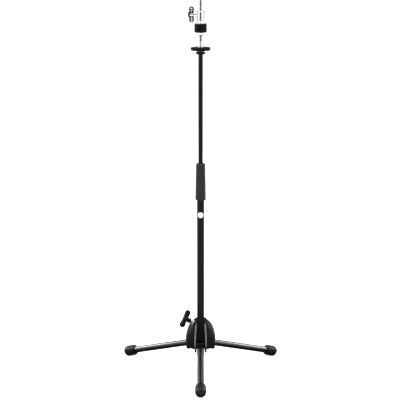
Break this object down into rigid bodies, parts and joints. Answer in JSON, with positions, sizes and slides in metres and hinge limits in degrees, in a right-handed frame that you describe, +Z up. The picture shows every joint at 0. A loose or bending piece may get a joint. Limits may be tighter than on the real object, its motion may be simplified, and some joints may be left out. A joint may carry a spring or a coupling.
{
  "type": "hi-hat cymbal stand",
  "caption": "Straight stand for a pair of hi-hat cymbals: telescoping mast on a folding tripod base, with a felt seat and a clamping clutch on a thin rod.",
  "frame": {"origin": "point on the floor under the mast's axis, at the centre of the three feet", "axes": "+Z up along the mast; the front leg points along -Y; the clutch's wing screw and the hub knob are on the -X side"},
  "size_m": [0.4828, 0.4226, 1.1241],
  "materials": {
    "black_plastic": "satin moulded",
    "black_paint": "satin powder coat",
    "black_nylon": "moulded",
    "black_rubber": "matt",
    "black_felt": "pressed wool felt",
    "chrome": "polished",
    "zinc_steel": "zinc plated",
    "brass": "turned",
    "white_nylon": "moulded",
    "badge_silver": "printed silver"
  },
  "bodies": {
    "base": {"hub_housing": "black_plastic", "base_plate": "black_paint", "plate_screw_rear": "zinc_steel", "plate_screw_left": "zinc_steel", "plate_screw_right": "zinc_steel", "leg_pin_front": "zinc_steel", "leg_pin_left": "zinc_steel", "leg_pin_right": "zinc_steel", "hub_insert": "zinc_steel", "hub_clamp_pad": "white_nylon"},
    "leg_front": {"leg_tube_front": "black_paint", "leg_knuckle_front": "black_nylon", "foot_front": "black_rubber"},
    "leg_left": {"leg_tube_left": "black_paint", "leg_knuckle_left": "black_nylon", "foot_left": "black_rubber"},
    "leg_right": {"leg_tube_right": "black_paint", "leg_knuckle_right": "black_nylon", "foot_right": "black_rubber"},
    "hub_screw": {"hub_screw": "zinc_steel"},
    "hub_knob": {"hub_knob": "black_plastic"},
    "mast": {"mast_tube": "black_paint", "mast_plug": "black_nylon", "mast_ferrule": "brass", "collet": "white_nylon", "badge_rim": "black_paint", "badge_face": "badge_silver"},
    "grip": {"grip_sleeve": "black_plastic"},
    "slider": {"guide_bush": "white_nylon"},
    "post": {"upper_tube": "black_paint", "seat_flange": "black_paint", "seat_cup": "chrome", "seat_felt": "black_felt", "seat_post": "chrome", "rod": "chrome"},
    "clutch": {"clutch_body": "chrome", "clutch_stem": "chrome", "adjusting_nut": "chrome", "upper_washer": "black_paint", "upper_felt": "black_felt", "lower_felt": "black_felt"},
    "clutch_screw": {"clutch_screw": "zinc_steel"},
    "clutch_wing": {"clutch_wing": "chrome"},
    "lower_washer": {"lower_washer": "black_paint"},
    "lock_nut": {"lock_nut": "chrome"}
  },
  "joints": [
    {"name": "leg_front_fold", "type": "hinge", "parent": "base", "child": "leg_front", "pos_m": [0, -0.028, 0.08223], "axis": [-1, 0, 0], "range_deg": [0, 105.9]},
    {"name": "leg_left_fold", "type": "hinge", "parent": "base", "child": "leg_left", "pos_m": [-0.02425, 0.014, 0.08223], "axis": [0.5, 0.866, 0], "range_deg": [0, 105.9]},
    {"name": "leg_right_fold", "type": "hinge", "parent": "base", "child": "leg_right", "pos_m": [0.02425, 0.014, 0.08223], "axis": [0.5, -0.866, 0], "range_deg": [0, 105.9]},
    {"name": "hub_screw_travel", "type": "slide", "parent": "base", "child": "hub_screw", "axis": [-0.7589, -0.4382, 0.4818], "range_m": [0, 0.0026]},
    {"name": "hub_knob_turn", "type": "hinge", "parent": "hub_screw", "child": "hub_knob", "pos_m": [0, 0, 0.13723], "axis": [-0.7589, -0.4382, 0.4818], "range_deg": [0, 720]},
    {"name": "mast_slide", "type": "slide", "parent": "base", "child": "mast", "axis": [0, 0, 1], "range_m": [-0.035, 0.015]},
    {"name": "grip_twist", "type": "hinge", "parent": "mast", "child": "grip", "pos_m": [0, 0, 0.56023], "axis": [0, 0, 1], "range_deg": [0, 120]},
    {"name": "height_slide", "type": "slide", "parent": "mast", "child": "slider", "axis": [0, 0, 1], "range_m": [-0.31, 0.15]},
    {"name": "upper_swivel", "type": "hinge", "parent": "slider", "child": "post", "pos_m": [0, 0, 0.37223], "axis": [0, 0, 1], "continuous": true},
    {"name": "clutch_slide", "type": "slide", "parent": "post", "child": "clutch", "axis": [0, 0, 1], "range_m": [-0.008, 0.11]},
    {"name": "clutch_screw_travel", "type": "slide", "parent": "clutch", "child": "clutch_screw", "axis": [-1, 0, 0], "range_m": [0, 0.0021]},
    {"name": "clutch_wing_turn", "type": "hinge", "parent": "clutch_screw", "child": "clutch_wing", "pos_m": [0, 0, 1.08193], "axis": [-1, 0, 0], "range_deg": [0, 720]},
    {"name": "lock_nut_travel", "type": "slide", "parent": "clutch", "child": "lower_washer", "axis": [0, 0, -1], "range_m": [0, 0.0061]},
    {"name": "lock_nut_turn", "type": "hinge", "parent": "lower_washer", "child": "lock_nut", "pos_m": [0, 0, 1.02133], "axis": [0, 0, -1], "range_deg": [0, 2160]}
  ],
  "couplings": [
    {"joint": "hub_screw_travel", "follows": "hub_knob_turn", "m_per_rad": 0.00019894},
    {"joint": "clutch_screw_travel", "follows": "clutch_wing_turn", "m_per_rad": 0.00015915},
    {"joint": "lock_nut_travel", "follows": "lock_nut_turn", "m_per_rad": 0.00015915}
  ]
}
